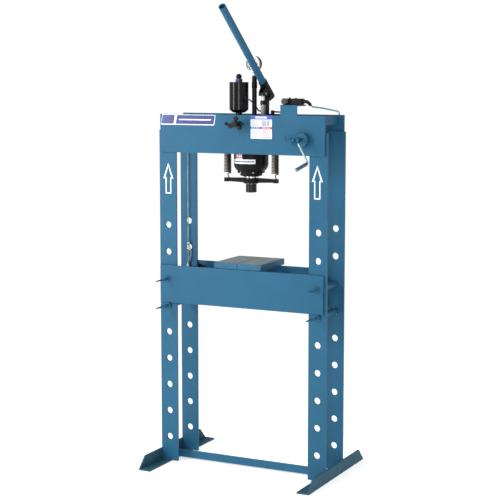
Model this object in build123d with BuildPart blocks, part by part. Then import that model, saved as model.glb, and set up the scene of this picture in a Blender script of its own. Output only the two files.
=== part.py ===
from build123d import *
from math import cos, radians, sin, tan
import os

# Hydro-pneumatic workshop press with an H frame: four drilled flat posts on two angle feet,
# a fixed head that carries the cylinder, its hand pump and its air motor, and a pinned table
# that a winch in the head raises and lowers.
# The floor is z = 0, the operator stands on the -Y side and the ram works along -Z.
# The origin is on the floor, at the centre of the press's footprint.

os.makedirs("parts", exist_ok=True)

# ---------------------------------------------------------------- driving dimensions (mm)
ram_y = 27.0             # y of the ram's axis, midway between the front and rear posts
plate_t = 8.0            # thickness of the posts and of the head and table plates
plate_h = 152.4          # height of the head and table plates
clear = 0.05             # radial clearance of a running fit

hole_pitch = 110.0
hole_dia = 27.0
hole_count = 9
first_hole_z = 104.5
post_w = 76.2
post_x = 331.1           # centre line of the posts and their holes, left and right
post_spacing = 171.6     # front to rear, between the posts' middle planes
post_top = 1367.3

foot_leg = 50.8
foot_t = 6.35
foot_len = 554.0
foot_y = ram_y + 12.1
anchor_dia = 13.0
anchor_x = 341.0
anchor_pitch_y = 500.0

head_bottom = 1279.5
head_half = 360.0
table_bottom = 667.5
table_half = 361.4
table_x = -3.9           # the table plates stand a little to the left
upper_pin_level = 6      # the pins' places, counted in holes from the lowest
lower_pin_level = 5

bore_r = 50.0            # hydraulic cylinder's bore
barrel_r = 69.0
barrel_top = 1385.0
gland_z = 1208.0         # joint between the barrel and its gland
rod_r = 27.5
ram_tip_z = 1122.5
spring_x = 105.5
arm_z = 1171.0

block_h = 40.0           # manifold block on top of the cylinder
block_top = barrel_top + block_h
knob_x = -2.0
knob_z = 1397.5
pump_x = 46.0
plunger_y = ram_y + 12.1
pivot_y = ram_y + 50.1
pivot_z = 1503.0
plunger_pin_z = 1514.0
lever_angle = 39.1       # lever above the horizontal, leaning to the operator
motor_x = -47.0
motor_y = ram_y - 15.0
gauge_x = 8.0
gauge_tube_y = ram_y + 12.1
gauge_z = 1630.0

winch_x = 271.0
winch_z = 1341.0
pawl_x = 228.0
pawl_z = 1333.0
pulley_x = 310.0
pulley_r = 18.0          # bottom of the pulley's groove
cable_r = 2.0
cable_gap = 0.3
left_cable_y = ram_y + 74.1
right_cable_y = ram_y + 68.0
cable_end_z = 812.0

# ---------------------------------------------------------------- derived sizes
post_face = post_spacing / 2 + plate_t / 2          # posts' outer faces, from the ram's axis
plate_face = post_face + plate_t                    # head and table plates' outer faces
front_face_y = ram_y - plate_face
rear_face_y = ram_y + plate_face
head_top = head_bottom + plate_h
table_top = table_bottom + plate_h
hole_levels = [first_hole_z + hole_pitch * i for i in range(hole_count)]
upper_pin_z = hole_levels[upper_pin_level]
lower_pin_z = hole_levels[lower_pin_level]
post_outer = post_x + post_w / 2
cable_path_r = pulley_r + cable_r + cable_gap
drum_path_r = pulley_x - cable_path_r - winch_x
drum_r = drum_path_r - cable_r - cable_gap
left_pulley_z = winch_z + drum_path_r - cable_path_r


# ---------------------------------------------------------------- helpers
def facing_front(y):
    """Plane at this y that faces the operator, with X to its right and Z up."""
    return Plane(origin=(0, y, 0), x_dir=(1, 0, 0), z_dir=(0, -1, 0))


def save(builder, name):
    builder.part.label = name
    export_step(builder.part, f"parts/{name}.step")


def slab(x_range, y_range, z_range):
    """Rectangular block between these limits."""
    with BuildPart() as block:
        with BuildSketch(Plane.XY.offset(z_range[0])):
            with Locations(((x_range[0] + x_range[1]) / 2, (y_range[0] + y_range[1]) / 2)):
                Rectangle(x_range[1] - x_range[0], y_range[1] - y_range[0])
        extrude(amount=z_range[1] - z_range[0])
    return block.part


def turned(x, y, outline):
    """Body of revolution about the vertical line at x, y; the outline is radius and z."""
    with BuildPart() as body:
        with BuildSketch(facing_front(y)):
            with BuildLine():
                Polyline(*[(x + r, z) for r, z in outline], close=True)
            make_face()
        revolve(axis=Axis((x, y, 0), (0, 0, 1)))
    return body.part


def rod_y(x, z, radius, y_range, bore=0.0):
    """Round bar or tube along Y, from the first y to the second."""
    with BuildPart() as bar:
        with BuildSketch(facing_front(y_range[1])):
            with Locations((x, z)):
                Circle(radius)
                if bore > 0:
                    Circle(bore, mode=Mode.SUBTRACT)
        extrude(amount=y_range[1] - y_range[0])
    return bar.part


def rod_x(y, z, radius, x_range, bore=0.0):
    """Round bar or tube along X."""
    with BuildPart() as bar:
        with BuildSketch(Plane.YZ.offset(x_range[0])):
            with Locations((y, z)):
                Circle(radius)
                if bore > 0:
                    Circle(bore, mode=Mode.SUBTRACT)
        extrude(amount=x_range[1] - x_range[0])
    return bar.part


def hexagon(x, y, across_flats, z_range, bore=0.0):
    """Vertical hexagonal bar or nut."""
    with BuildPart() as nut:
        with BuildSketch(Plane.XY.offset(z_range[0])):
            with Locations((x, y)):
                RegularPolygon(across_flats / 2, 6, major_radius=False)
                if bore > 0:
                    Circle(bore, mode=Mode.SUBTRACT)
        extrude(amount=z_range[1] - z_range[0])
    return nut.part


def bend_radii(route):
    """Largest arc for each corner of a route: 0.45 of its shorter run."""
    points = [Vector(*point) for point in route]
    radii = []
    for before, corner, after in zip(points, points[1:], points[2:]):
        half_turn = radians((corner - before).get_angle(after - corner)) / 2
        run = min((corner - before).length, (after - corner).length)
        radii.append(0.45 * run / tan(half_turn))
    return radii


def round_bar(route, radius, radii):
    """Wire or tube of this radius along straight runs joined by tangent arcs."""
    with BuildPart() as bar:
        with BuildLine() as path:
            FilletPolyline(*route, radius=radii)
        centre_line = path.wire()
        with BuildSketch(Plane(origin=centre_line @ 0, z_dir=centre_line % 0)):
            Circle(radius)
        sweep(path=centre_line)
    return bar.part, centre_line.length


def hose(name, route, radius):
    """Held hose along its route, with its bend radii and volume printed for the record."""
    radii = bend_radii(route)
    with BuildPart() as tube:
        solid, length = round_bar(route, radius, radii)
        add(solid)
    ratio = solid.volume / (3.14159 * radius**2 * length)
    print(name, "length", round(length, 1), "volume ratio", round(ratio, 4),
          "radii", [round(r, 1) for r in radii])
    save(tube, name)


# ---------------------------------------------------------------- feet and crossbar
def make_foot(name, side):
    leg_x = sorted((side * post_outer, side * (post_outer + foot_t)))
    sole_x = sorted((side * (post_outer + foot_t - foot_leg), side * (post_outer + foot_t)))
    half = foot_len / 2
    end_h = foot_t
    slope = foot_leg - end_h
    with BuildPart() as foot:
        with BuildSketch(Plane.YZ.offset(leg_x[0])):
            with BuildLine():
                Polyline((foot_y - half, 0), (foot_y + half, 0), (foot_y + half, end_h),
                         (foot_y + half - slope, foot_leg), (foot_y - half + slope, foot_leg),
                         (foot_y - half, end_h), close=True)
            make_face()
        extrude(amount=foot_t)
        add(slab(sole_x, (foot_y - half, foot_y + half), (0, foot_t)))
        with Locations(*[(side * anchor_x, foot_y + s * anchor_pitch_y / 2, foot_t) for s in (-1, 1)]):
            Hole(anchor_dia / 2)
    save(foot, name)


make_foot("left_foot", -1)
make_foot("right_foot", 1)

bar_y = ram_y - 33.0
bar_leg = 31.75
bar_t = 4.8
with BuildPart() as foot_crossbar:
    add(slab((-post_outer, post_outer), (bar_y, bar_y + bar_t), (foot_t, foot_t + bar_leg)))
    add(slab((-post_outer, post_outer), (bar_y, bar_y + bar_leg), (foot_t, foot_t + bar_t)))
save(foot_crossbar, "foot_crossbar")


# ---------------------------------------------------------------- posts
for side, side_name in ((-1, "left"), (1, "right")):
    with BuildPart() as posts:
        for y in (ram_y - post_spacing / 2, ram_y + post_spacing / 2):
            with BuildSketch(facing_front(y + plate_t / 2)):
                with Locations((side * post_x, (foot_t + post_top) / 2)):
                    Rectangle(post_w, post_top - foot_t)
                with Locations(*[(side * post_x, z) for z in hole_levels]):
                    Circle(hole_dia / 2, mode=Mode.SUBTRACT)
            extrude(amount=plate_t)
    save(posts, f"{side_name}_posts")


# ---------------------------------------------------------------- head frame
shaft_hole_r = 9.0
shaft_r = 8.0
spindle_hole_r = 11.0
with BuildPart() as head_front_plate:
    with BuildSketch(facing_front(front_face_y + plate_t)):
        with Locations((0, head_bottom + plate_h / 2)):
            Rectangle(2 * head_half, plate_h)
        with Locations((knob_x, knob_z)):
            Circle(spindle_hole_r, mode=Mode.SUBTRACT)
        with Locations((winch_x, winch_z)):
            Circle(shaft_hole_r, mode=Mode.SUBTRACT)
    extrude(amount=plate_t)
save(head_front_plate, "head_front_plate")

with BuildPart() as head_rear_plate:
    with BuildSketch(facing_front(rear_face_y)):
        with Locations((0, head_bottom + plate_h / 2)):
            Rectangle(2 * head_half, plate_h)
        with Locations((winch_x, winch_z)):
            Circle(shaft_r + clear, mode=Mode.SUBTRACT)
    extrude(amount=plate_t)
save(head_rear_plate, "head_rear_plate")

spacer_w = 25.4
spacer_h = 31.0
spacer_top = head_top - 5.0
spacer_x = 335.5
gap_y = (ram_y - post_face, ram_y + post_face)
with BuildPart() as head_spacers:
    for side in (-1, 1):
        x_range = sorted((side * spacer_x, side * (spacer_x - spacer_w)))
        add(slab(x_range, gap_y, (spacer_top - spacer_h, spacer_top)))
save(head_spacers, "head_spacers")

seat_half = 88.0
seat_z = (1290.0, 1310.0)
with BuildPart() as cylinder_seat:
    add(slab((-seat_half, seat_half), gap_y, seat_z))
    with Locations((0, ram_y, seat_z[1])):
        Hole(barrel_r + 0.2)
save(cylinder_seat, "cylinder_seat")


# ---------------------------------------------------------------- table
def make_table_plate(name, rear_face):
    with BuildPart() as plate:
        with BuildSketch(facing_front(rear_face)):
            with Locations((table_x, table_bottom + plate_h / 2)):
                Rectangle(2 * table_half, plate_h)
            with Locations((-post_x, upper_pin_z), (post_x, upper_pin_z)):
                Circle(hole_dia / 2, mode=Mode.SUBTRACT)
        extrude(amount=plate_t)
    save(plate, name)


make_table_plate("table_front_plate", front_face_y + plate_t)
make_table_plate("table_rear_plate", rear_face_y)

tie_x = 287.0            # outer face of the table's ties, just inside the posts
tie_w = 25.4
with BuildPart() as table_ties:
    for side in (-1, 1):
        x_range = sorted((side * tie_x, side * (tie_x - tie_w)))
        add(slab(x_range, gap_y, (table_bottom, table_bottom + 38.0)))
        add(slab(x_range, gap_y, (table_top - 38.0, table_top - 17.0)))
save(table_ties, "table_ties")

block_w = 101.6
block_len = 222.0
block_t = 25.4
block_y = ram_y + 17.1
block_joint_x = -16.0
block_gap = 2.5
for side, name in ((-1, "left_press_block"), (1, "right_press_block")):
    near_x = block_joint_x + side * block_gap / 2
    x_range = sorted((near_x, near_x + side * block_w))
    with BuildPart() as press_block:
        add(slab(x_range, (block_y - block_len / 2, block_y + block_len / 2),
                 (table_top, table_top + block_t)))
        chamfer(press_block.edges().filter_by(Axis.Z, reverse=True), length=1.5)
    save(press_block, name)


# ---------------------------------------------------------------- table pins
pin_r = 12.7
pin_front = plate_face + 3.0
pin_rear = plate_face + 12.0
knuckle_out = 130.0      # how far the pull ring's knuckle stands from the ram's axis
loop_out = 176.0


def make_lock_pin(name, side, z):
    """Table pin: a plain shaft with a neck, a cross knuckle and a bent wire pull loop."""
    x = side * post_x
    knuckle_y = ram_y - knuckle_out
    loop = [(x - 7.0, knuckle_y, z), (x - 12.0, ram_y - loop_out, z - 3.0),
            (x + 12.0, ram_y - loop_out, z + 3.0), (x + 7.0, knuckle_y, z)]
    with BuildPart() as pin:
        add(rod_y(x, z, pin_r, (ram_y - pin_front, ram_y + pin_rear)))
        chamfer(pin.edges().filter_by(GeomType.CIRCLE), length=2.0)
        add(rod_y(x, z, 5.5, (knuckle_y, ram_y - pin_front + 1.0)))
        add(rod_x(knuckle_y, z, 6.5, (x - 10.0, x + 10.0)))
        wire, _ = round_bar(loop, 2.5, [8.0, 8.0])
        add(wire)
    save(pin, name)


for level, z in (("upper", upper_pin_z), ("lower", lower_pin_z)):
    for side, side_name in ((-1, "left"), (1, "right")):
        make_lock_pin(f"{level}_{side_name}_pin", side, z)


# ---------------------------------------------------------------- hydraulic cylinder
gland_spigot_r = 40.0
gland_flange_r = 54.5
bore_floor_z = 1228.0
screw_circle_r = 50.5
first_screw_angle = 5
head_seat_z = gland_z - 2.0
with BuildPart() as cylinder_barrel:
    add(turned(0, ram_y, [(gland_spigot_r, gland_z), (gland_flange_r, gland_z), (61.5, 1215.0),
                          (66.5, 1223.5), (barrel_r, 1233.0), (barrel_r, seat_z[1]),
                          (85.0, seat_z[1]), (85.0, seat_z[1] + 12.0), (barrel_r, seat_z[1] + 12.0),
                          (barrel_r, barrel_top), (bore_r, barrel_top), (bore_r, bore_floor_z),
                          (gland_spigot_r, bore_floor_z)]))
    with BuildSketch(Plane.XY.offset(gland_z)):
        with Locations((0, ram_y)):
            with PolarLocations(screw_circle_r, 6, start_angle=first_screw_angle):
                Circle(3.0 + clear)
    extrude(amount=16.5, mode=Mode.SUBTRACT)
save(cylinder_barrel, "cylinder_barrel")

with BuildPart() as cylinder_gland:
    add(turned(0, ram_y, [(rod_r + clear, 1186.0), (31.0, 1186.0), (44.0, 1190.0),
                          (44.0, 1200.5), (gland_flange_r, 1200.5), (gland_flange_r, gland_z),
                          (gland_spigot_r - clear, gland_z), (gland_spigot_r - clear, bore_floor_z),
                          (rod_r + clear, bore_floor_z)]))
    with BuildSketch(Plane.XY.offset(gland_z)):
        with Locations((0, ram_y)):
            with PolarLocations(screw_circle_r, 6, start_angle=first_screw_angle):
                Circle(3.3)
    extrude(amount=-10.0, mode=Mode.SUBTRACT)
    with BuildSketch(Plane.XY.offset(head_seat_z)):
        with Locations((0, ram_y)):
            with PolarLocations(screw_circle_r, 6, start_angle=first_screw_angle):
                Circle(5.5)
    extrude(amount=-10.0, mode=Mode.SUBTRACT)
save(cylinder_gland, "cylinder_gland")

screw_reach = 68.0
with BuildPart() as socket_screws:
    with BuildSketch(Plane.XY.offset(head_seat_z)):
        with Locations((0, ram_y)):
            with PolarLocations(screw_circle_r, 6, start_angle=first_screw_angle):
                Circle(5.0)
    extrude(amount=-5.5)
    with BuildSketch(Plane.XY.offset(head_seat_z)):
        with Locations((0, ram_y)):
            with PolarLocations(screw_circle_r, 6, start_angle=first_screw_angle):
                Circle(3.0)
    extrude(amount=16.5)
    with BuildSketch(Plane.XY.offset(block_top)):
        with Locations((-3.5, ram_y)):
            with GridLocations(160, 2 * screw_reach, 2, 2):
                Circle(8.0)
    extrude(amount=8.0)
save(socket_screws, "socket_screws")

piston_t = 22.0
piston_top = 1380.0
hub_r = 31.0
arm_half = 118.0
with BuildPart() as ram_piston:
    add(turned(0, ram_y, [(0, 1157.5), (rod_r, 1157.5), (rod_r, piston_top - piston_t),
                          (bore_r - clear, piston_top - piston_t),
                          (bore_r - clear, piston_top - 15.0), (45.0, piston_top - 15.0),
                          (45.0, piston_top - 8.0), (bore_r - clear, piston_top - 8.0),
                          (bore_r - clear, piston_top), (0, piston_top)]))
    with Locations(Location((0, ram_y, 1157.5), (180, 0, 0))):
        Hole(10.0 + clear, depth=20.0)
save(ram_piston, "ram_piston")

with BuildPart() as piston_seal:
    add(turned(0, ram_y, [(45.1, piston_top - 14.7), (bore_r - 0.02, piston_top - 14.7),
                          (bore_r - 0.02, piston_top - 8.3), (45.1, piston_top - 8.3)]))
save(piston_seal, "piston_seal")

with BuildPart() as spring_bar:
    add(turned(0, ram_y, [(rod_r + clear, 1158.0), (hub_r - 3.0, 1158.0), (hub_r, 1161.0),
                          (hub_r, 1178.0), (hub_r - 3.0, 1181.0), (rod_r + clear, 1181.0)]))
    for side in (-1, 1):
        with BuildSketch(facing_front(ram_y + 8.0)):
            with BuildLine():
                Polyline((side * (hub_r - 2.0), arm_z - 10.0), (side * (arm_half - 18.0), arm_z - 7.0),
                         (side * (arm_half - 18.0), arm_z - 9.0), (side * arm_half, arm_z - 9.0),
                         (side * arm_half, arm_z + 7.0), (side * (arm_half - 18.0), arm_z + 7.0),
                         (side * (hub_r - 2.0), arm_z + 9.0), close=True)
            make_face()
        extrude(amount=16.0)
    with BuildSketch(facing_front(ram_y + 8.0)):
        with Locations((-spring_x, arm_z), (spring_x, arm_z)):
            Circle(3.5)
    extrude(amount=16.0, mode=Mode.SUBTRACT)
save(spring_bar, "spring_bar")

tip_r = 21.75
with BuildPart() as ram_tip:
    add(turned(0, ram_y, [(0, ram_tip_z), (tip_r - 1.5, ram_tip_z), (tip_r, ram_tip_z + 1.5),
                          (tip_r, 1157.5), (10.0, 1157.5), (10.0, 1177.0), (0, 1177.0)]))
save(ram_tip, "ram_tip")

hanger_z = 1346.0
hanger_r = 5.0
spring_r = 14.7
coil_bottom = 1197.0
coil_top = 1328.0
with BuildPart() as spring_hangers:
    for side in (-1, 1):
        add(rod_y(side * spring_x, hanger_z, hanger_r, gap_y))
save(spring_hangers, "spring_hangers")

with BuildPart() as return_springs:
    for side in (-1, 1):
        add(turned(side * spring_x, ram_y, [(spring_r - 4.0, coil_bottom), (spring_r, coil_bottom),
                                            (spring_r, coil_top), (spring_r - 4.0, coil_top)]))
        for inner, outer in ((coil_bottom + 4.0, arm_z + 11.0), (coil_top - 4.0, hanger_z - 9.0)):
            low, high = sorted((inner, outer))
            add(slab((side * spring_x - 11.5, side * spring_x + 11.5), (ram_y - 2.0, ram_y + 2.0),
                     (low, high)))
save(return_springs, "return_springs")


# ---------------------------------------------------------------- manifold, pump and release valve
block_x = (-95.0, 88.0)
block_half_y = 79.0
plunger_r = 7.0
plunger_floor = 1394.0
spindle_r = 6.0
spindle_end_y = ram_y - 58.0
with BuildPart() as manifold_block:
    add(slab(block_x, (ram_y - block_half_y, ram_y + block_half_y), (barrel_top, block_top)))
    chamfer(manifold_block.edges().group_by(Axis.Z)[-1], length=2.0)
    with Locations((pump_x, plunger_y, block_top)):
        Hole(plunger_r + clear, depth=block_top - plunger_floor)
    with BuildSketch(facing_front(spindle_end_y + 0.5)):
        with Locations((knob_x, knob_z)):
            Circle(spindle_r + clear)
    extrude(amount=40.0, mode=Mode.SUBTRACT)
save(manifold_block, "manifold_block")

barrel_end = 1470.0
nut_top = 1487.0
with BuildPart() as pump_barrel:
    add(turned(pump_x, plunger_y, [(plunger_r + clear, block_top), (12.5, block_top),
                                   (12.5, block_top + 6.0), (9.5, block_top + 6.0),
                                   (9.5, barrel_end), (plunger_r + clear, barrel_end)]))
save(pump_barrel, "pump_barrel")

with BuildPart() as pump_gland_nut:
    add(hexagon(pump_x, plunger_y, 21.0, (barrel_end, nut_top), plunger_r + clear))
    chamfer(pump_gland_nut.edges().group_by(Axis.Z)[-1].filter_by(GeomType.LINE), length=1.0)
save(pump_gland_nut, "pump_gland_nut")

tang_t = 10.0
tang_z = 1499.0
plunger_pin_r = 4.0
with BuildPart() as pump_plunger:
    add(turned(pump_x, plunger_y, [(0, plunger_floor + 15.0), (plunger_r, plunger_floor + 15.0),
                                   (plunger_r, tang_z), (0, tang_z)]))
    with BuildSketch(Plane.YZ.offset(pump_x - tang_t / 2)):
        with Locations((plunger_y, (tang_z - 2.0 + plunger_pin_z) / 2)):
            Rectangle(9.0, plunger_pin_z - tang_z + 2.0)
        with Locations((plunger_y, plunger_pin_z)):
            Circle(5.5)
    extrude(amount=tang_t)
    add(rod_x(plunger_y, plunger_pin_z, plunger_pin_r, (pump_x - 13.0, pump_x + 13.0)))
save(pump_plunger, "pump_plunger")

pivot_r = 5.0
lug_w = 18.0
lug_t = 10.0
with BuildPart() as pivot_lug:
    with BuildSketch(Plane.YZ.offset(pump_x - lug_t / 2)):
        with Locations((pivot_y, (block_top + pivot_z) / 2)):
            Rectangle(lug_w, pivot_z - block_top)
        with Locations((pivot_y, pivot_z)):
            Circle(lug_w / 2)
            Circle(pivot_r + clear, mode=Mode.SUBTRACT)
    extrude(amount=lug_t)
    add(slab((pump_x - 8.0, pump_x + 8.0), (pivot_y - 13.0, pivot_y + lug_w / 2),
             (block_top, block_top + 7.0)))
save(pivot_lug, "pivot_lug")

# The release valve's knob: a three-lobed star in front of a cross rod with ball ends
knob_y = ram_y - 136.0
rod_plane_y = ram_y - 121.0
lobe_reach = 23.0
with BuildPart() as release_knob:
    add(rod_y(knob_x, knob_z, spindle_r, (ram_y - 146.0, spindle_end_y)))
    add(rod_y(knob_x, knob_z, 11.0, (knob_y - 9.0, rod_plane_y + 9.0)))
    with BuildSketch(Plane(origin=(knob_x, rod_plane_y, knob_z), x_dir=(1, 0, 0), z_dir=(0, 0, 1))):
        with Locations((-47.0, 0), (20.0, 0)):
            Circle(7.0)
        with Locations((-13.5, 0)):
            Rectangle(67.0, 6.0)
        with Locations((-13.5, -10.0)):
            Rectangle(100.0, 20.0, mode=Mode.SUBTRACT)
    revolve(axis=Axis((knob_x, rod_plane_y, knob_z), (1, 0, 0)))
    for angle in (82, 202, 322):
        lobe_x = knob_x + lobe_reach * cos(radians(angle))
        lobe_z = knob_z + lobe_reach * sin(radians(angle))
        with BuildSketch(facing_front(knob_y + 6.0)):
            with Locations((lobe_x, lobe_z)):
                Circle(7.5)
            with Locations(((knob_x + lobe_x) / 2, (knob_z + lobe_z) / 2)):
                Rectangle(lobe_reach, 9.0, rotation=angle)
        extrude(amount=13.0)
save(release_knob, "release_knob")


# ---------------------------------------------------------------- pump lever
down = (cos(radians(lever_angle)), -sin(radians(lever_angle)))
socket_mouth = (ram_y + 7.7, 1560.5)
socket_len = 93.8
socket_r = 17.3
tube_r = 14.0
tube_bore_r = 11.2
tube_inside = 58.0
tube_outside = 441.6
cheek_gap = 11.0
cheek_t = 6.0


def on_lever(along, across):
    """Point in the lever's plane: along its axis from the mouth, and across, upwards."""
    return (socket_mouth[0] + along * down[0] - across * down[1],
            socket_mouth[1] + along * down[1] + across * down[0])


def lever_tube_between(start, end, radius, bore):
    """Tube on the lever's axis between two distances from the socket's mouth."""
    y, z = on_lever(end, 0)
    with BuildPart() as tube:
        with BuildSketch(Plane(origin=(pump_x, y, z), z_dir=(0, -down[0], -down[1]))):
            Circle(radius)
            if bore > 0:
                Circle(bore, mode=Mode.SUBTRACT)
        extrude(amount=end - start)
    return tube.part


slot_centre = (plunger_y - 0.2, plunger_pin_z)
slot_len = 13.5
slot_h = 9.4
lever_raise = 7          # degrees the lever can still be raised from its rest
with BuildPart() as lever_socket:
    add(lever_tube_between(0, socket_len, socket_r, 0))
    for x in (pump_x - cheek_gap / 2 - cheek_t, pump_x + cheek_gap / 2):
        with BuildSketch(Plane.YZ.offset(x)):
            with BuildLine():
                Polyline(on_lever(18, -6), on_lever(18, -15), (plunger_y - 16.0, plunger_pin_z + 7.0),
                         (plunger_y - 16.0, plunger_pin_z - 6.0), (plunger_y - 12.0, plunger_pin_z - 9.5),
                         (pivot_y - 14.0, plunger_pin_z - 9.5), (pivot_y - 10.0, pivot_z - 18.0),
                         (pivot_y + 8.0, pivot_z - 18.0), on_lever(socket_len, -10),
                         on_lever(socket_len, -6), close=True)
            make_face()
            with Locations((pivot_y, pivot_z)):
                Circle(pivot_r + clear, mode=Mode.SUBTRACT)
            with Locations(slot_centre):
                SlotOverall(slot_len, slot_h, mode=Mode.SUBTRACT)
        extrude(amount=cheek_t)
    add(lever_tube_between(-1, tube_inside, tube_r + clear, 0), mode=Mode.SUBTRACT)
    add(rod_x(pivot_y, pivot_z, pivot_r + clear, (pump_x - 20.0, pump_x + 20.0)), mode=Mode.SUBTRACT)
    with BuildSketch(Plane.YZ.offset(pump_x - cheek_gap / 2)):
        with Locations((pivot_y, pivot_z)):
            Circle(lug_w / 2 + 1.5)
        for swing in (0, lever_raise):
            below = (pivot_y + 20.0 * sin(radians(swing)), pivot_z - 20.0 * cos(radians(swing)))
            with Locations(below):
                Rectangle(lug_w + 3.0, 40.0, rotation=swing)
    extrude(amount=cheek_gap, mode=Mode.SUBTRACT)
save(lever_socket, "lever_socket")

with BuildPart() as lever_tube:
    add(lever_tube_between(-tube_outside, tube_inside, tube_r, tube_bore_r))
save(lever_tube, "lever_tube")

bolt_y, bolt_z = on_lever(9, -24)
with BuildPart() as lever_bolts:
    add(rod_x(pivot_y, pivot_z, pivot_r, (pump_x - 13.5, pump_x + 13.5)))
    add(rod_x(pivot_y, pivot_z, 8.0, (pump_x + 13.5, pump_x + 18.5)))
    with BuildSketch(Plane(origin=(pump_x, bolt_y, bolt_z), z_dir=(0, -down[1], down[0]))):
        RegularPolygon(6.5, 6, major_radius=False)
    extrude(amount=23.9 - socket_r)
save(lever_bolts, "lever_bolts")


# ---------------------------------------------------------------- air motor
motor_r = 38.0
motor_base_z = 1450.0
motor_top = 1559.0
fitting_angle = 110.5
with BuildPart() as air_motor:
    add(turned(motor_x, motor_y, [(0, block_top), (12.0, block_top), (12.0, block_top + 12.0),
                                  (25.0, block_top + 15.0), (35.0, motor_base_z - 2.0),
                                  (motor_r, motor_base_z + 1.0), (motor_r, motor_top - 1.0),
                                  (motor_r - 1.0, motor_top), (0, motor_top)]))
save(air_motor, "air_motor")

with BuildPart() as exhaust_silencer:
    add(hexagon(motor_x, motor_y, 27.0, (motor_top, motor_top + 13.0)))
    with Locations((motor_x, motor_y, motor_top + 21.0)):
        Sphere(11.5)
save(exhaust_silencer, "exhaust_silencer")

# Push-in hose fittings: on the air motor, on the manifold and at the air valve's back
motor_fit_dir = Vector(cos(radians(fitting_angle)), sin(radians(fitting_angle)), 0)
motor_fit_z = 1500.0
hose_r = 3.0
fitting_r = 6.0
motor_fit_end = Vector(motor_x, motor_y, motor_fit_z) + motor_fit_dir * (motor_r + 14.0)
line_port = Vector(24.0, ram_y + 61.0, 1443.0)
pump_port = Vector(70.0, ram_y + 64.0, 1441.0)
valve_port = Vector(203.0, ram_y - 37.0, 1485.0)
elbow_start = Vector(252.0, ram_y - 62.0, 1486.0)
elbow_corner = Vector(270.0, ram_y - 62.0, 1486.0)
elbow_dir = Vector(0.3, 0.75, -0.59).normalized()
elbow_end = elbow_corner + elbow_dir * 22.0
with BuildPart() as hose_fittings:
    with BuildSketch(Plane(origin=motor_fit_end, z_dir=-motor_fit_dir)):
        Circle(fitting_r)
    extrude(amount=20.0)
    add(turned(motor_x, motor_y, [(0, motor_base_z + 5.0), (motor_r, motor_base_z + 5.0),
                                  (motor_r, motor_top - 5.0), (0, motor_top - 5.0)]),
        mode=Mode.SUBTRACT)
    add(turned(line_port.X + 6.0, line_port.Y, [(0, block_top), (fitting_r, block_top),
                                                (fitting_r, line_port.Z + 6.0), (0, line_port.Z + 6.0)]))
    add(rod_x(line_port.Y, line_port.Z, 5.0, (line_port.X, line_port.X + 6.0)))
    add(slab((pump_port.X - 12.0, pump_port.X - 2.0), (pump_port.Y - 6.0, pump_port.Y + 6.0),
             (block_top, pump_port.Z + 6.0)))
    add(rod_x(pump_port.Y, pump_port.Z, 5.0, (pump_port.X - 4.0, pump_port.X)))
    add(rod_y(valve_port.X, valve_port.Z, fitting_r, (valve_port.Y - 12.0, valve_port.Y)))
    elbow, _ = round_bar([tuple(elbow_start), tuple(elbow_corner), tuple(elbow_end)], 6.5, [11.0])
    add(elbow)
    add(rod_x(elbow_start.Y, elbow_start.Z, 8.5, (elbow_start.X, elbow_start.X + 7.0)))
save(hose_fittings, "hose_fittings")


# ---------------------------------------------------------------- pressure gauge
gauge_r = 31.2
case_front = ram_y - 9.0
case_rear = ram_y + 17.0
dial_y = ram_y - 2.0
with BuildPart() as gauge_post:
    add(turned(gauge_x, gauge_tube_y, [(0, block_top), (13.0, block_top), (13.0, block_top + 7.0),
                                       (9.5, block_top + 7.0), (9.5, 1535.0), (0, 1535.0)]))
    add(hexagon(gauge_x, gauge_tube_y, 21.0, (1535.0, 1559.0)))
    add(hexagon(gauge_x, gauge_tube_y, 19.0, (1559.0, 1582.0)))
    add(turned(gauge_x, gauge_tube_y, [(0, 1582.0), (6.5, 1582.0), (6.5, gauge_z - gauge_r + 1.5),
                                       (0, gauge_z - gauge_r + 1.5)]))
save(gauge_post, "gauge_post")

with BuildPart() as gauge_case:
    add(rod_y(gauge_x, gauge_z, gauge_r, (case_front + 5.0, case_rear)))
    add(rod_y(gauge_x, gauge_z, gauge_r + 1.0, (case_front, case_front + 5.0)))
    add(rod_y(gauge_x, gauge_z, gauge_r - 3.0, (case_front - 1.0, dial_y + 1.0)), mode=Mode.SUBTRACT)
    add(turned(gauge_x, gauge_tube_y, [(0, 1580.0), (6.55, 1580.0), (6.55, gauge_z - gauge_r + 1.6),
                                       (0, gauge_z - gauge_r + 1.6)]), mode=Mode.SUBTRACT)
save(gauge_case, "gauge_case")

with BuildPart() as gauge_dial:
    add(rod_y(gauge_x, gauge_z, gauge_r - 3.2, (dial_y, dial_y + 1.0)))
save(gauge_dial, "gauge_dial")

needle_angle = 225       # at rest the needle points to zero, at the dial's lower left
with BuildPart() as gauge_needle:
    with BuildSketch(facing_front(dial_y - 1.5)):
        with Locations((gauge_x, gauge_z)):
            Circle(3.2)
        with BuildLine():
            Polyline(*[(gauge_x + r * cos(radians(needle_angle + a)),
                        gauge_z + r * sin(radians(needle_angle + a)))
                       for r, a in ((2.6, 90), (22.0, 1.2), (22.0, -1.2), (2.6, -90), (9.0, 188), (9.0, 172))],
                     close=True)
        make_face()
    extrude(amount=1.0)
    add(rod_y(gauge_x, gauge_z, 2.0, (dial_y - 3.4, dial_y - 0.3)))
save(gauge_needle, "gauge_needle")


# ---------------------------------------------------------------- air valve and its bracket
bracket_x = (173.0, 243.0)
bracket_top = 1473.0
sheet_t = 5.0
with BuildPart() as valve_bracket:
    add(slab(bracket_x, (front_face_y, front_face_y + sheet_t), (head_top, bracket_top)))
    add(slab(bracket_x, (front_face_y, ram_y - 11.0), (bracket_top - sheet_t, bracket_top)))
    fillet(valve_bracket.edges().filter_by(Axis.X).sort_by_distance((208, front_face_y, bracket_top))[0],
           radius=4.0)
save(valve_bracket, "valve_bracket")

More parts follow.
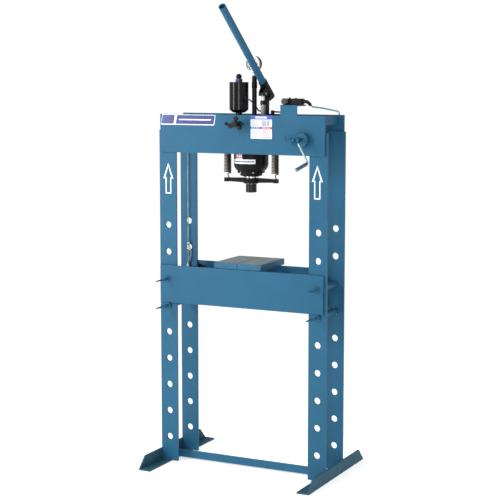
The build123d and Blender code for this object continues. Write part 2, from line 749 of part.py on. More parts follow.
valve_x = (176.0, 252.0)
valve_y = (ram_y - 75.0, ram_y - 49.0)
valve_z = (bracket_top, 1497.0)
button_x = 185.0
button_z = 1486.0
button_r = 12.5
with BuildPart() as air_valve:
    add(slab(valve_x, valve_y, valve_z))
    chamfer(air_valve.edges(), length=1.5)
    add(rod_y(button_x, button_z, 10.5, (valve_y[0] - 4.0, valve_y[0] + 3.0)))
    add(rod_x(ram_y - 62.0, 1485.0, 5.0, (valve_x[0] - 13.0, valve_x[0] + 2.0)))
    add(turned(197.0, ram_y - 62.0, [(0, 1495.0), (3.5, 1495.0), (3.5, 1501.0), (0, 1501.0)]))
    add(turned(222.0, ram_y - 62.0, [(0, 1495.0), (5.0, 1495.0), (5.0, 1499.0), (0, 1499.0)]))
    with BuildSketch(facing_front(valve_y[0] + 8.0)):
        with Locations((button_x, button_z)):
            Circle(5.0 + clear)
    extrude(amount=20.0, mode=Mode.SUBTRACT)
save(air_valve, "air_valve")

with BuildPart() as valve_button:
    add(rod_y(button_x, button_z, button_r, (valve_y[0] - 16.0, valve_y[0] - 9.6)))
    fillet(valve_button.edges().group_by(Axis.Y)[0], radius=2.0)
    add(rod_y(button_x, button_z, 5.0, (valve_y[0] - 10.0, valve_y[0] + 2.5)))
save(valve_button, "valve_button")

inlet_x = 332.0
inlet_y = rear_face_y + 11.0
inlet_z = 1382.0
with BuildPart() as air_inlet:
    add(slab((inlet_x - 11.0, inlet_x + 11.0), (rear_face_y, rear_face_y + 22.0),
             (inlet_z - 14.0, inlet_z + 14.0)))
    chamfer(air_inlet.edges().filter_by(Axis.Z), length=2.0)
    add(turned(inlet_x, inlet_y, [(0, 1395.0), (fitting_r, 1395.0), (fitting_r, 1410.0), (0, 1410.0)]))
    add(rod_y(inlet_x, inlet_z, 7.0, (rear_face_y + 21.0, rear_face_y + 27.0)))
    add(rod_y(inlet_x, inlet_z, 4.5, (rear_face_y + 26.0, rear_face_y + 34.0)))
    add(rod_y(inlet_x, inlet_z, 6.0, (rear_face_y + 34.0, rear_face_y + 42.0)))
save(air_inlet, "air_inlet")


# ---------------------------------------------------------------- hoses
hose("air_supply_hose",
     [tuple(elbow_end), tuple(elbow_end + elbow_dir * 13.0), (304.0, ram_y + 8.0, 1460.0),
      (325.0, ram_y + 45.0, 1452.0), (341.0, ram_y + 82.0, 1445.5),
      (inlet_x, inlet_y, 1437.0), (inlet_x, inlet_y, 1410.0)], hose_r)
hose("air_motor_line",
     [tuple(motor_fit_end), tuple(motor_fit_end + motor_fit_dir * 25.0),
      (-57.0, ram_y + 70.0, 1495.0), (-32.0, ram_y + 71.0, 1481.0), (-11.0, ram_y + 65.0, 1460.0),
      (4.0, ram_y + 61.0, 1443.0), tuple(line_port)], hose_r)
hose("pump_hose",
     [tuple(pump_port), (88.0, ram_y + 64.0, 1441.0), (114.0, ram_y + 38.0, 1440.0),
      (142.0, ram_y + 16.0, 1449.0), (172.0, ram_y + 8.0, 1467.0), (203.0, ram_y + 2.0, 1485.0),
      tuple(valve_port)], hose_r)


# ---------------------------------------------------------------- winch, pulley and lift cables
wheel_y = (ram_y - 119.0, ram_y - 113.0)
teeth = 12
wheel_root_r = 25.0
wheel_tip_r = 31.0
crank_y = ram_y - 158.0
with BuildPart() as winch_bearing:
    add(rod_y(winch_x, winch_z, 27.0, (front_face_y - 6.0, front_face_y), shaft_hole_r - 0.5))
    add(rod_y(winch_x, winch_z, 14.0, (front_face_y - 14.0, front_face_y - 5.0), shaft_r + clear))
    add(rod_y(pawl_x, pawl_z, 9.0, (front_face_y - 3.0, front_face_y)))
    add(rod_y(pawl_x, pawl_z, 4.0, (front_face_y - 24.0, front_face_y - 2.0)))
save(winch_bearing, "winch_bearing")

with BuildPart() as winch_shaft:
    add(rod_y(winch_x, winch_z, shaft_r, (crank_y - 2.0, rear_face_y)))
    add(rod_y(winch_x, winch_z, drum_r, (ram_y + 62.0, ram_y + 80.0)))
    for y in (ram_y + 58.5, ram_y + 78.0):
        add(rod_y(winch_x, winch_z, 26.0, (y, y + 3.0)))
    with BuildSketch(facing_front(wheel_y[1])):
        with Locations((winch_x, winch_z)):
            Circle(wheel_root_r)
            Circle(shaft_r + clear, mode=Mode.SUBTRACT)
        for i in range(teeth):
            tip = radians(360 / teeth * i)
            base = radians(360 / teeth * i + 30)
            with BuildLine():
                Polyline((winch_x + 22.0 * cos(tip), winch_z + 22.0 * sin(tip)),
                         (winch_x + wheel_tip_r * cos(tip), winch_z + wheel_tip_r * sin(tip)),
                         (winch_x + 22.0 * cos(base), winch_z + 22.0 * sin(base)), close=True)
            make_face()
    extrude(amount=wheel_y[1] - wheel_y[0])
save(winch_shaft, "winch_shaft")

arm_end = (317.5, 1256.5)
grip_tilt = 10.5
grip_dir = Vector(0, -cos(radians(grip_tilt)), -sin(radians(grip_tilt)))
arm_corner = Vector(arm_end[0], crank_y, arm_end[1])
with BuildPart() as crank_arm:
    add(rod_y(winch_x, winch_z, 12.5, (crank_y - 7.0, crank_y + 7.0), shaft_r + clear))
    arm_dir = (arm_corner - Vector(winch_x, crank_y, winch_z)).normalized()
    arm_start = Vector(winch_x, crank_y, winch_z) + arm_dir * 10.5
    rod, _ = round_bar([tuple(arm_start), tuple(arm_corner),
                        tuple(arm_corner + grip_dir * 112.0)], 4.0, [9.0])
    add(rod)
save(crank_arm, "crank_arm")

grip_start = arm_corner + grip_dir * 13.0
with BuildPart() as crank_grip:
    with BuildSketch(Plane(origin=grip_start, z_dir=grip_dir)):
        Circle(6.8)
        Circle(4.0 + clear, mode=Mode.SUBTRACT)
    extrude(amount=95.0)
    fillet(crank_grip.edges().filter_by(GeomType.CIRCLE).group_by(SortBy.RADIUS)[-1], radius=1.5)
save(crank_grip, "crank_grip")

with BuildPart() as winch_pawl:
    with BuildSketch(facing_front(wheel_y[1])):
        with Locations((pawl_x, pawl_z)):
            Circle(7.5)
        with BuildLine():
            Polyline((pawl_x - 3.0, pawl_z + 6.8), (winch_x - wheel_tip_r - 1.0, winch_z + 2.0),
                     (winch_x - wheel_tip_r - 1.2, winch_z - 3.0), (pawl_x + 4.5, pawl_z - 6.0), close=True)
        make_face()
        with BuildLine():
            Polyline((pawl_x - 4.0, pawl_z + 5.0), (pawl_x - 16.0, pawl_z + 1.0), (pawl_x - 23.0, pawl_z + 8.0),
                     (pawl_x - 26.0, pawl_z + 20.0), (pawl_x - 31.0, pawl_z + 19.0), (pawl_x - 27.0, pawl_z + 4.0),
                     (pawl_x - 18.0, pawl_z - 5.0), (pawl_x - 5.0, pawl_z - 5.0), close=True)
        make_face()
        with Locations((pawl_x, pawl_z)):
            Circle(4.0 + clear, mode=Mode.SUBTRACT)
    extrude(amount=wheel_y[1] - wheel_y[0])
save(winch_pawl, "winch_pawl")


with BuildPart() as left_pulley:
    pulley_plane = Plane(origin=(-pulley_x, left_cable_y, left_pulley_z), x_dir=(1, 0, 0), z_dir=(0, 0, 1))
    with BuildSketch(pulley_plane):
        with BuildLine():
            Polyline((5.0 + clear, -5.0), (pulley_r + 5.0, -5.0), (pulley_r + 5.0, -4.0),
                     (pulley_r, -1.6), (pulley_r, 1.6), (pulley_r + 5.0, 4.0),
                     (pulley_r + 5.0, 5.0), (5.0 + clear, 5.0), close=True)
        make_face()
    revolve(axis=Axis((-pulley_x, left_cable_y, left_pulley_z), (0, 1, 0)))
save(left_pulley, "left_pulley")

with BuildPart() as pulley_bracket:
    add(slab((-pulley_x - 14.0, -pulley_x + 12.0), (left_cable_y - 11.0, left_cable_y - 6.0),
             (left_pulley_z - 12.0, spacer_top - spacer_h)))
    add(rod_y(-pulley_x, left_pulley_z, 5.0, (left_cable_y - 6.5, left_cable_y + 5.3)))
save(pulley_bracket, "pulley_bracket")

# The left cable goes over the pulley; the right one hangs straight from the drum's inner side
left_cable_x = -pulley_x - cable_path_r
right_cable_x = winch_x - drum_path_r
cable_top = winch_z + drum_path_r
with BuildPart() as lift_cables:
    left_run, _ = round_bar([(winch_x, left_cable_y, cable_top), (left_cable_x, left_cable_y, cable_top),
                             (left_cable_x, left_cable_y, cable_end_z)], cable_r, [cable_path_r])
    add(left_run)
    add(turned(right_cable_x, right_cable_y, [(0, cable_end_z), (cable_r, cable_end_z),
                                              (cable_r, winch_z), (0, winch_z)]))
save(lift_cables, "lift_cables")

anchor_z = (785.5, 793.5)
with BuildPart() as cable_anchors:
    for x, y, x_range in ((left_cable_x, left_cable_y, (left_cable_x - 12.0, -tie_x)),
                          (right_cable_x, right_cable_y, (right_cable_x - 12.0, tie_x - tie_w))):
        add(slab(x_range, (y - 7.5, y + 6.5), anchor_z))
        add(turned(x, y, [(0, anchor_z[1]), (4.0, anchor_z[1]), (4.0, cable_end_z), (0, cable_end_z)]))
save(cable_anchors, "cable_anchors")
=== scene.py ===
import math
import random

import bmesh
import bpy
from mathutils import Matrix, Vector


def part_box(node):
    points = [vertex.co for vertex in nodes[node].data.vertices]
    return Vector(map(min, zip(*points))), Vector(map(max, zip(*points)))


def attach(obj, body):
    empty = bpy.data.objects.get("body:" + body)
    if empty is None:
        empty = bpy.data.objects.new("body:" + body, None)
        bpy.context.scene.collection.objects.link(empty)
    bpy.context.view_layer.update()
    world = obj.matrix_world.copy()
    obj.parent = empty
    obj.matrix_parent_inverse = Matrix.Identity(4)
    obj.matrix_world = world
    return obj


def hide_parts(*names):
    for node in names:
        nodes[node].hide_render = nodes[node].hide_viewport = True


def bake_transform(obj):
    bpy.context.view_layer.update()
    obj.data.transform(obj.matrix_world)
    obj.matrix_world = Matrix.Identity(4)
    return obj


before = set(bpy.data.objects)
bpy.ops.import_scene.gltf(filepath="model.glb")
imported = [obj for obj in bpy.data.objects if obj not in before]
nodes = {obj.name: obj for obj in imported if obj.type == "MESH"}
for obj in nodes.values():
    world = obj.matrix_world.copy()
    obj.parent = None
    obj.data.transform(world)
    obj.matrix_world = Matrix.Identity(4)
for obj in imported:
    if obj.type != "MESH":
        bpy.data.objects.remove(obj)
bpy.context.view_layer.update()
FRAME_BODY = "press_frame"
mm = 0.001  # metres
SHARP_ANGLE = math.radians(35)

# ---------------------------------------------------------------- places read from the CAD frame
barrel_low, barrel_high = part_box("cylinder_barrel")
ram_x = (barrel_low.x + barrel_high.x) / 2
ram_y = (barrel_low.y + barrel_high.y) / 2
head_low, head_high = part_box("head_front_plate")
table_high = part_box("table_front_plate")[1]
post_low, post_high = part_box("right_posts")
shaft_low, shaft_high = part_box("winch_shaft")
winch_x = (shaft_low.x + shaft_high.x) / 2
winch_z = (shaft_low.z + shaft_high.z) / 2
post_t = 8.0 * mm

# ---------------------------------------------------------------- camera
camera_data = bpy.data.cameras.new("camera")
camera_data.lens = 98.68
camera_data.sensor_width = 36.0
camera_data.clip_start = 0.1
camera_data.clip_end = 100.0
camera = bpy.data.objects.new("camera", camera_data)
bpy.context.scene.collection.objects.link(camera)
camera.location = (2.4330, -4.8579, 1.5945)
look_at = Vector((0.0372, -0.0588, 0.9017))
camera.rotation_mode = "QUATERNION"
camera.rotation_quaternion = (look_at - camera.location).to_track_quat("-Z", "Y")
bpy.context.scene.camera = camera
bpy.context.scene.view_settings.view_transform = "Standard"


# ---------------------------------------------------------------- materials
def srgb(r, g, b):
    """Linear colour for an sRGB colour in 0 to 255."""
    def linear(c):
        c = c / 255
        return c / 12.92 if c <= 0.04045 else ((c + 0.055) / 1.055) ** 2.4
    return (linear(r), linear(g), linear(b), 1.0)


def shade(colour, factor):
    return tuple(min(1.0, c * factor) for c in colour[:3]) + (1.0,)


class Tree:
    """A new material's node tree, with short ways to add and link nodes."""

    def __init__(self, name):
        self.material = bpy.data.materials.new(name)
        self.material.use_nodes = True
        self.tree = self.material.node_tree
        self.shader = self.tree.nodes["Principled BSDF"]
        self.coords = self.tree.nodes.new("ShaderNodeTexCoord").outputs["Object"]

    def add(self, kind, inputs=None, **settings):
        node = self.tree.nodes.new(kind)
        for key, value in settings.items():
            setattr(node, key, value)
        for key, value in (inputs or {}).items():
            if isinstance(value, bpy.types.NodeSocket):
                self.tree.links.new(value, node.inputs[key])
            else:
                node.inputs[key].default_value = value
        return node

    def noise(self, scale, detail=3.0, stretch=(1, 1, 1), roughness=0.5):
        mapped = self.add("ShaderNodeMapping", {"Vector": self.coords, "Scale": stretch})
        return self.add("ShaderNodeTexNoise", {"Vector": mapped.outputs[0], "Scale": scale, "Detail": detail,
                                               "Roughness": roughness}).outputs["Fac"]

    def ramp(self, factor, low, high, start=0.0, end=1.0):
        node = self.add("ShaderNodeMapRange", {"Value": factor, "From Min": start, "From Max": end,
                                               "To Min": low, "To Max": high})
        return node.outputs[0]

    def mix(self, factor, a, b):
        node = self.add("ShaderNodeMix", {0: factor, 6: a, 7: b}, data_type="RGBA")
        return node.outputs[2]

    def link(self, socket, name):
        self.tree.links.new(socket, self.shader.inputs[name])


def surface(name, colour, roughness, metallic=0.0, mottle=0.08, mottle_scale=14.0, grain=700.0,
            grain_depth=0.02, spread=0.06, stretch=(1, 1, 1), edge=0.8, edge_wear_and_highlight=None, coat=0.0, grime=0.0,
            specular=0.5, overlay=None):
    """Procedural finish: mottled colour, uneven gloss and fine relief.

    Where edge (in mm) is above 0 the edges are softened, and chips on them take the given edge colour: worn
    paint that is also a painted highlight along the edges.
    """
    t = Tree(name)
    patches = t.ramp(t.noise(mottle_scale, 4.0, stretch), 0.0, 1.0, 0.3, 0.7)
    tint = t.mix(patches, shade(colour, 1 - mottle), shade(colour, 1 + mottle))
    if grime:
        dust = t.ramp(t.noise(mottle_scale * 0.37, 6.0, (1, 1, 1), 0.65), 0.0, grime, 0.5, 0.75)
        tint = t.mix(dust, tint, shade(colour, 0.55))
    if overlay:
        tint = overlay(t, tint)
    soft = t.add("ShaderNodeBevel", {"Radius": edge * mm}, samples=4) if edge else None
    # Chips along the edges: worn paint, and where the colour is lighter, a painted highlight on the edges as
    # well.
    if edge_wear_and_highlight and edge:
        face = t.add("ShaderNodeNewGeometry").outputs["Normal"]
        dot = t.add("ShaderNodeVectorMath", {0: soft.outputs[0], 1: face}, operation="DOT_PRODUCT")
        rim = t.ramp(dot.outputs["Value"], 1.0, 0.0, 0.86, 0.97)
        chips = t.ramp(t.noise(160.0, 5.0), 0.0, 1.0, 0.48, 0.6)
        mask = t.add("ShaderNodeMath", {0: rim, 1: chips}, operation="MULTIPLY")
        tint = t.mix(mask.outputs[0], tint, edge_wear_and_highlight)
    t.link(tint, "Base Color")
    gloss = t.noise(mottle_scale * 3.1, 5.0, stretch)
    t.link(t.ramp(gloss, roughness - spread, roughness + spread, 0.3, 0.7), "Roughness")
    relief = t.noise(grain, 2.0, stretch)
    bump = t.add("ShaderNodeBump", {"Height": relief, "Strength": 0.35, "Distance": grain_depth * mm * 10})
    if soft:
        t.tree.links.new(soft.outputs[0], bump.inputs["Normal"])
    t.link(bump.outputs[0], "Normal")
    t.shader.inputs["Metallic"].default_value = metallic
    t.shader.inputs["Specular IOR Level"].default_value = specular
    t.shader.inputs["Coat Weight"].default_value = coat
    t.shader.inputs["Coat Roughness"].default_value = 0.12
    return t.material


blue = srgb(41, 95, 125)
# Lighter blue for the edge chips: worn paint and a painted highlight along the edges.
edge_wear_and_highlight_blue = srgb(104, 150, 172)
painted_hub_r = 13.4 * mm
bare_rod_r = 13.8 * mm


def bare_top(t, tint):
    """Worn, bare steel on the faces that look up; the paint stays on the sides."""
    normal = t.tree.nodes["Texture Coordinate"].outputs["Normal"]
    up = t.add("ShaderNodeSeparateXYZ", {"Vector": normal}).outputs["Z"]
    steel = t.mix(t.ramp(t.noise(30.0, 6.0, (1, 0.25, 1), 0.7), 0.0, 1.0, 0.35, 0.65),
                  srgb(116, 134, 138), srgb(146, 158, 158))
    return t.mix(t.ramp(up, 0.0, 0.92, 0.75, 0.9), tint, steel)


def painted_hub(t, tint):
    """Paint on the crank's hub, round the winch's axis; the rod beyond it stays bright."""
    radius = t.add("ShaderNodeVectorMath", {0: t.add("ShaderNodeVectorMath", {
        0: t.coords, 1: (winch_x, 0.0, winch_z)}, operation="SUBTRACT").outputs[0], 1: (1.0, 0.0, 1.0)},
        operation="MULTIPLY")
    length = t.add("ShaderNodeVectorMath", {0: radius.outputs[0]}, operation="LENGTH").outputs["Value"]
    return t.mix(t.ramp(length, 0.0, 1.0, painted_hub_r, bare_rod_r), shade(blue, 0.9), tint)


paint = surface("blue_paint", blue, 0.4, mottle=0.05, mottle_scale=7.0, grain=420.0, grain_depth=0.03,
                edge=1.2, edge_wear_and_highlight=edge_wear_and_highlight_blue, grime=0.15, specular=0.16)
paint_rough = surface("blue_paint_rough", shade(blue, 0.95), 0.45, mottle=0.1, mottle_scale=40.0, grain=260.0,
                      grain_depth=0.08, edge=1.0, edge_wear_and_highlight=edge_wear_and_highlight_blue, grime=0.3, specular=0.2)
paint_foot = surface("blue_paint_foot", srgb(50, 92, 110), 0.55, mottle=0.12, mottle_scale=30.0,
                     grain=260.0, grain_depth=0.05, edge=1.2, edge_wear_and_highlight=edge_wear_and_highlight_blue, grime=0.3, specular=0.08)
block_finish = surface("block_finish", shade(blue, 1.05), 0.5, mottle=0.12, mottle_scale=22.0, grain=300.0,
                       grain_depth=0.05, edge=1.5, edge_wear_and_highlight=srgb(150, 160, 158), grime=0.2, specular=0.3,
                       overlay=bare_top)
black_gloss = surface("black_enamel", srgb(7, 6, 8), 0.15, mottle=0.1, grain=60.0, grain_depth=0.001,
                      spread=0.02, edge=0.0, specular=0.38)
black_barrel = surface("black_enamel_barrel", srgb(6, 7, 7), 0.36, mottle=0.15, grain=200.0,
                       grain_depth=0.01, edge=0.0, specular=0.16)
black_cast = surface("black_cast", srgb(9, 9, 10), 0.44, specular=0.16, mottle=0.25, mottle_scale=60.0,
                     grain=420.0, grain_depth=0.1, edge=1.2, edge_wear_and_highlight=srgb(60, 60, 60))
spring_steel = surface("spring_steel", srgb(74, 66, 60), 0.4, metallic=0.7, mottle=0.2, mottle_scale=70.0,
                       grain=500.0, grain_depth=0.02, edge=0.3)
black_oxide = surface("black_oxide", srgb(44, 41, 39), 0.38, metallic=0.85, mottle=0.25, mottle_scale=70.0,
                      grain=500.0, grain_depth=0.03, edge=0.5)
tip_black = surface("tip_black", srgb(13, 13, 15), 0.24, specular=0.35, mottle=0.2, grain=300.0,
                    grain_depth=0.02, stretch=(1, 1, 0.15), edge=1.0)
zinc = surface("zinc_plate", srgb(196, 200, 200), 0.3, metallic=1.0, mottle=0.12, mottle_scale=90.0,
               grain=700.0, grain_depth=0.02, edge=0.6)
steel_turned = surface("turned_steel", srgb(150, 151, 150), 0.36, metallic=0.9, mottle=0.08,
                       mottle_scale=30.0, grain=900.0, grain_depth=0.01, stretch=(0.1, 0.1, 3.0), edge=0.0)
chrome = surface("chrome", srgb(226, 228, 230), 0.07, metallic=1.0, mottle=0.03, grain=200.0,
                 grain_depth=0.004, spread=0.03, edge=0.4)
rubber = surface("black_rubber", srgb(18, 18, 18), 0.55, specular=0.3, mottle=0.15, grain=900.0,
                 grain_depth=0.03, edge=0.4)
plastic_black = surface("black_plastic", srgb(15, 13, 13), 0.3, specular=0.3, mottle=0.15, mottle_scale=50.0,
                        grain=800.0, grain_depth=0.03, edge=0.8)
button_brown = surface("dark_button", srgb(58, 46, 45), 0.36, mottle=0.15, mottle_scale=60.0, grain=700.0,
                       grain_depth=0.03, edge=0.8)


def hose_plastic(name, colour):
    return surface(name, colour, 0.32, mottle=0.08, mottle_scale=40.0, grain=500.0, grain_depth=0.01,
                   edge=0.3, coat=0.3)


def print_ink(name, colour, roughness=0.35, mottle=0.05):
    return surface(name, colour, roughness, mottle=mottle, grain=300.0, grain_depth=0.004, edge=0.1, coat=0.4)


teal_hose = hose_plastic("teal_hose", srgb(104, 172, 186))
blue_hose = hose_plastic("blue_hose", srgb(58, 100, 170))
grip_plastic = surface("grip_plastic", srgb(78, 96, 108), 0.4, mottle=0.08, mottle_scale=50.0, grain=700.0,
                       grain_depth=0.03, edge=0.8)
dial_white = surface("dial_white", srgb(238, 238, 234), 0.45, mottle=0.02, grain=500.0, grain_depth=0.005,
                     edge=0.2)
arrow_white = surface("arrow_white", srgb(246, 250, 250), 0.4, mottle=0.02, grain=300.0, grain_depth=0.004,
                      edge=0.1)
label_white = print_ink("label_white", srgb(214, 222, 232), mottle=0.015)
label_blue = print_ink("label_blue", srgb(74, 80, 176))
label_navy = print_ink("label_navy", srgb(30, 42, 118))
label_red = print_ink("label_red", srgb(214, 74, 66))
label_crimson = print_ink("label_crimson", srgb(190, 40, 66))
label_grey = print_ink("label_grey", srgb(168, 172, 182), 0.4)
label_steel = print_ink("label_steel", srgb(112, 122, 146), 0.4)
label_black = print_ink("label_black", srgb(34, 36, 34), 0.4)
bezel_metal = surface("bezel_metal", srgb(214, 212, 212), 0.34, metallic=0.7, mottle=0.04, mottle_scale=60.0,
                      grain=500.0, grain_depth=0.004, edge=0.0)
crank_zinc = surface("crank_zinc", srgb(166, 192, 202), 0.34, metallic=0.85, mottle=0.05, mottle_scale=60.0,
                     grain=500.0, grain_depth=0.003, edge=0.0, overlay=painted_hub)
cable_wire = surface("cable_wire", srgb(166, 170, 168), 0.45, metallic=0.6, mottle=0.15, mottle_scale=200.0,
                     grain=900.0, grain_depth=0.02, edge=0.2)
glass_tree = Tree("lens_glass")
glass_tree.link(glass_tree.ramp(glass_tree.noise(40.0), 0.015, 0.05, 0.3, 0.7), "Roughness")
glass_tree.shader.inputs["Base Color"].default_value = (0.96, 0.98, 0.97, 1.0)
glass_tree.shader.inputs["Transmission Weight"].default_value = 1.0
glass_tree.shader.inputs["IOR"].default_value = 1.1
glass = glass_tree.material


def banded(name, bands):
    """Finish that changes along Z: bands are (top z, colour, metallic), lowest first; the last has no top."""
    t = Tree(name)
    z = t.add("ShaderNodeSeparateXYZ", {"Vector": t.coords}).outputs["Z"]
    top, colour, metallic = bands[0]
    for next_top, next_colour, next_metallic in bands[1:]:
        above = t.add("ShaderNodeMath", {0: z, 1: top}, operation="GREATER_THAN").outputs[0]
        colour = t.mix(above, colour, next_colour)
        metallic = t.add("ShaderNodeMix", {0: above, 2: metallic, 3: next_metallic}).outputs[0]
        top = next_top
    mottled = t.mix(t.ramp(t.noise(60.0), 0.0, 0.25, 0.3, 0.7), colour, (0.02, 0.02, 0.02, 1.0))
    t.link(mottled, "Base Color")
    t.link(metallic, "Metallic")
    t.link(t.ramp(t.noise(90.0), 0.2, 0.34, 0.3, 0.7), "Roughness")
    t.shader.inputs["Specular IOR Level"].default_value = 0.2
    return t.material


bare_neck = 13.5 * mm
black_post_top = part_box("gauge_case")[0].z - bare_neck
gauge_post_finish = banded("gauge_post_finish", [(black_post_top, srgb(16, 16, 17), 0.0),
                                                 (None, srgb(190, 188, 182), 1.0)])
silencer_nut = 13.2 * mm
silencer_nut_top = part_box("exhaust_silencer")[0].z + silencer_nut
silencer_finish = banded("silencer_finish", [(silencer_nut_top, srgb(84, 88, 124), 0.8),
                                             (None, srgb(18, 18, 19), 0.0)])

finishes = {
    "left_foot": paint_foot, "right_foot": paint_foot,
    "cylinder_barrel": black_barrel, "cylinder_gland": black_cast, "socket_screws": zinc,
    "return_springs": black_oxide, "manifold_block": paint_rough, "pump_barrel": steel_turned,
    "pump_gland_nut": black_oxide, "pivot_lug": black_cast, "air_motor": black_gloss,
    "exhaust_silencer": silencer_finish, "hose_fittings": plastic_black, "gauge_post": gauge_post_finish,
    "gauge_case": black_gloss, "gauge_dial": dial_white, "air_valve": plastic_black,
    "air_supply_hose": teal_hose, "air_motor_line": blue_hose, "pump_hose": rubber, "air_inlet": zinc,
    "winch_bearing": paint_rough, "lift_cables": cable_wire, "cable_anchors": zinc,
    "ram_piston": chrome, "piston_seal": rubber, "spring_bar": black_cast, "ram_tip": tip_black,
    "lever_socket": black_cast, "lever_bolts": black_oxide, "pump_plunger": chrome,
    "release_knob": plastic_black, "winch_shaft": paint_rough, "crank_arm": crank_zinc,
    "crank_grip": grip_plastic, "winch_pawl": paint_rough, "left_pulley": zinc,
    "upper_left_pin": paint_rough, "lower_left_pin": paint_rough, "upper_right_pin": paint_rough,
    "lower_right_pin": paint_rough, "left_press_block": block_finish, "right_press_block": block_finish,
    "valve_button": button_brown, "gauge_needle": label_black,
}
for name, node in nodes.items():
    node.data.materials.clear()
    node.data.materials.append(finishes.get(name, paint))


# ---------------------------------------------------------------- mesh helpers
def finish_mesh(name, bm, materials, body, smooth=True, bevel=0.0):
    """Turns a bmesh into a piece on a body, with its materials and softened edges."""
    bmesh.ops.recalc_face_normals(bm, faces=bm.faces)
    mesh = bpy.data.meshes.new(name)
    bm.to_mesh(mesh)
    bm.free()
    for material in materials:
        mesh.materials.append(material)
    if smooth:
        mesh.shade_smooth()
        mesh.set_sharp_from_angle(angle=SHARP_ANGLE)
    piece = bpy.data.objects.new(name, mesh)
    bpy.context.scene.collection.objects.link(piece)
    if bevel:
        soften = piece.modifiers.new("soften", "BEVEL")
        soften.width = bevel
        soften.segments = 2
        soften.limit_method = "ANGLE"
    if body:
        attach(piece, body)
    return piece


def prism(bm, outline, place, depth, index=0):
    """Closed prism: outline in local x, y, pushed along local z by depth, with place a 4x4 matrix."""
    low = [bm.verts.new(place @ Vector((x, y, 0.0))) for x, y in outline]
    high = [bm.verts.new(place @ Vector((x, y, depth))) for x, y in outline]
    faces = [bm.faces.new(low), bm.faces.new(high)]
    count = len(outline)
    for i in range(count):
        j = (i + 1) % count
        faces.append(bm.faces.new((low[i], low[j], high[j], high[i])))
    for face in faces:
        face.material_index = index


def facing_front(y):
    """Local x is X, local y is Z, and local z points at the operator, from this y."""
    return Matrix(((1, 0, 0, 0), (0, 0, -1, y), (0, 1, 0, 0), (0, 0, 0, 1)))


def rectangle(x0, z0, x1, z1):
    return [(x0, z0), (x1, z0), (x1, z1), (x0, z1)]


def tube_along(bm, points, radius, sides=8, closed_ends=True):
    """Round tube swept along points with a frame carried without twist."""
    rings = []
    tangent = (points[1] - points[0]).normalized()
    side = tangent.orthogonal().normalized()
    for i, point in enumerate(points):
        before = points[max(i - 1, 0)]
        after = points[min(i + 1, len(points) - 1)]
        new_tangent = (after - before).normalized()
        side = (side - new_tangent * side.dot(new_tangent)).normalized()
        up = new_tangent.cross(side)
        rings.append([bm.verts.new(point + (side * math.cos(2 * math.pi * k / sides)
                                            + up * math.sin(2 * math.pi * k / sides)) * radius)
                      for k in range(sides)])
    for a, b in zip(rings, rings[1:]):
        for k in range(sides):
            m = (k + 1) % sides
            bm.faces.new((a[k], a[m], b[m], b[k]))
    if closed_ends:
        bm.faces.new(rings[0])
        bm.faces.new(rings[-1])


def lathe(bm, profile, place, sides=32):
    """Turned solid: profile of (radius, height) along local z, closed where the radius is 0."""
    rings = []
    for radius, height in profile:
        if radius < 1e-7:
            rings.append([bm.verts.new(place @ Vector((0, 0, height)))])
            continue
        rings.append([bm.verts.new(place @ Vector((radius * math.cos(2 * math.pi * k / sides),
                                                   radius * math.sin(2 * math.pi * k / sides), height)))
                      for k in range(sides)])
    for a, b in zip(rings, rings[1:]):
        for k in range(sides):
            m = (k + 1) % sides
            if len(a) == 1 and len(b) == 1:
                continue
            if len(a) == 1:
                bm.faces.new((a[0], b[m], b[k]))
            elif len(b) == 1:
                bm.faces.new((a[k], a[m], b[0]))
            else:
                bm.faces.new((a[k], a[m], b[m], b[k]))


# ---------------------------------------------------------------- return springs
spring_low, spring_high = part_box("return_springs")
wire_r = 2.3 * mm
coil_r = (spring_high.y - spring_low.y) / 2 + 0.6 * mm - wire_r
arm_hole_z = 1171.0 * mm
hanger_z = 1346.0 * mm
coil_bottom = 1198.0 * mm
coil_top = 1327.0 * mm
spring_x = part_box("spring_hangers")[1].x - 5.0 * mm
top_hook_r = 7.4 * mm
# (x, y, z) in mm: round the spring bar's hole from its front, then up to the first turn
bottom_hook = [(0.0, -9.0, 5.0), (0.0, -11.5, 0.0), (0.0, -8.0, -1.2), (0.0, 0.0, -1.3), (0.0, 8.0, -1.2),
               (0.0, 11.5, 1.0), (0.0, 11.0, 7.0), (0.0, 6.0, 12.0), (0.0, 1.0, 16.0), (0.0, 1.0, 21.0),
               (5.0, 2.0, 25.0)]


def make_spring(name, x):
    """Helical spring with a hook at each end."""
    turns = 22
    steps = 18
    y = ram_y
    points = [Vector((x + dx * mm, y + dy * mm, arm_hole_z + dz * mm)) for dx, dy, dz in bottom_hook]
    for i in range(turns * steps + 1):
        a = 2 * math.pi * i / steps
        z = coil_bottom + (coil_top - coil_bottom) * i / (turns * steps)
        points.append(Vector((x + coil_r * math.cos(a), y + coil_r * math.sin(a), z)))
    points += [Vector((x + 5.0 * mm, y - 2.0 * mm, coil_top + 3.0 * mm)),
               Vector((x, y - 1.0 * mm, coil_top + 5.0 * mm)),
               Vector((x, y - 2.0 * mm, hanger_z - 11.0 * mm))]
    for i in range(9):
        a = math.radians(-120 - 30 * i)
        points.append(Vector((x, y + top_hook_r * math.cos(a), hanger_z + top_hook_r * math.sin(a))))
    bm = bmesh.new()
    tube_along(bm, points, wire_r, 10)
    piece = finish_mesh(name, bm, [spring_steel], None)
    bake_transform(piece)
    return piece


left_spring = make_spring("left_return_spring", -spring_x)
right_spring = make_spring("right_return_spring", spring_x)
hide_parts("return_springs")
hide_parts("return_springs")

# ---------------------------------------------------------------- labels and arrows
label_t = 0.25 * mm
layer_step = 0.03 * mm
row_pitch = 4.6
arrow_line = 4.6
front_face = head_low.y


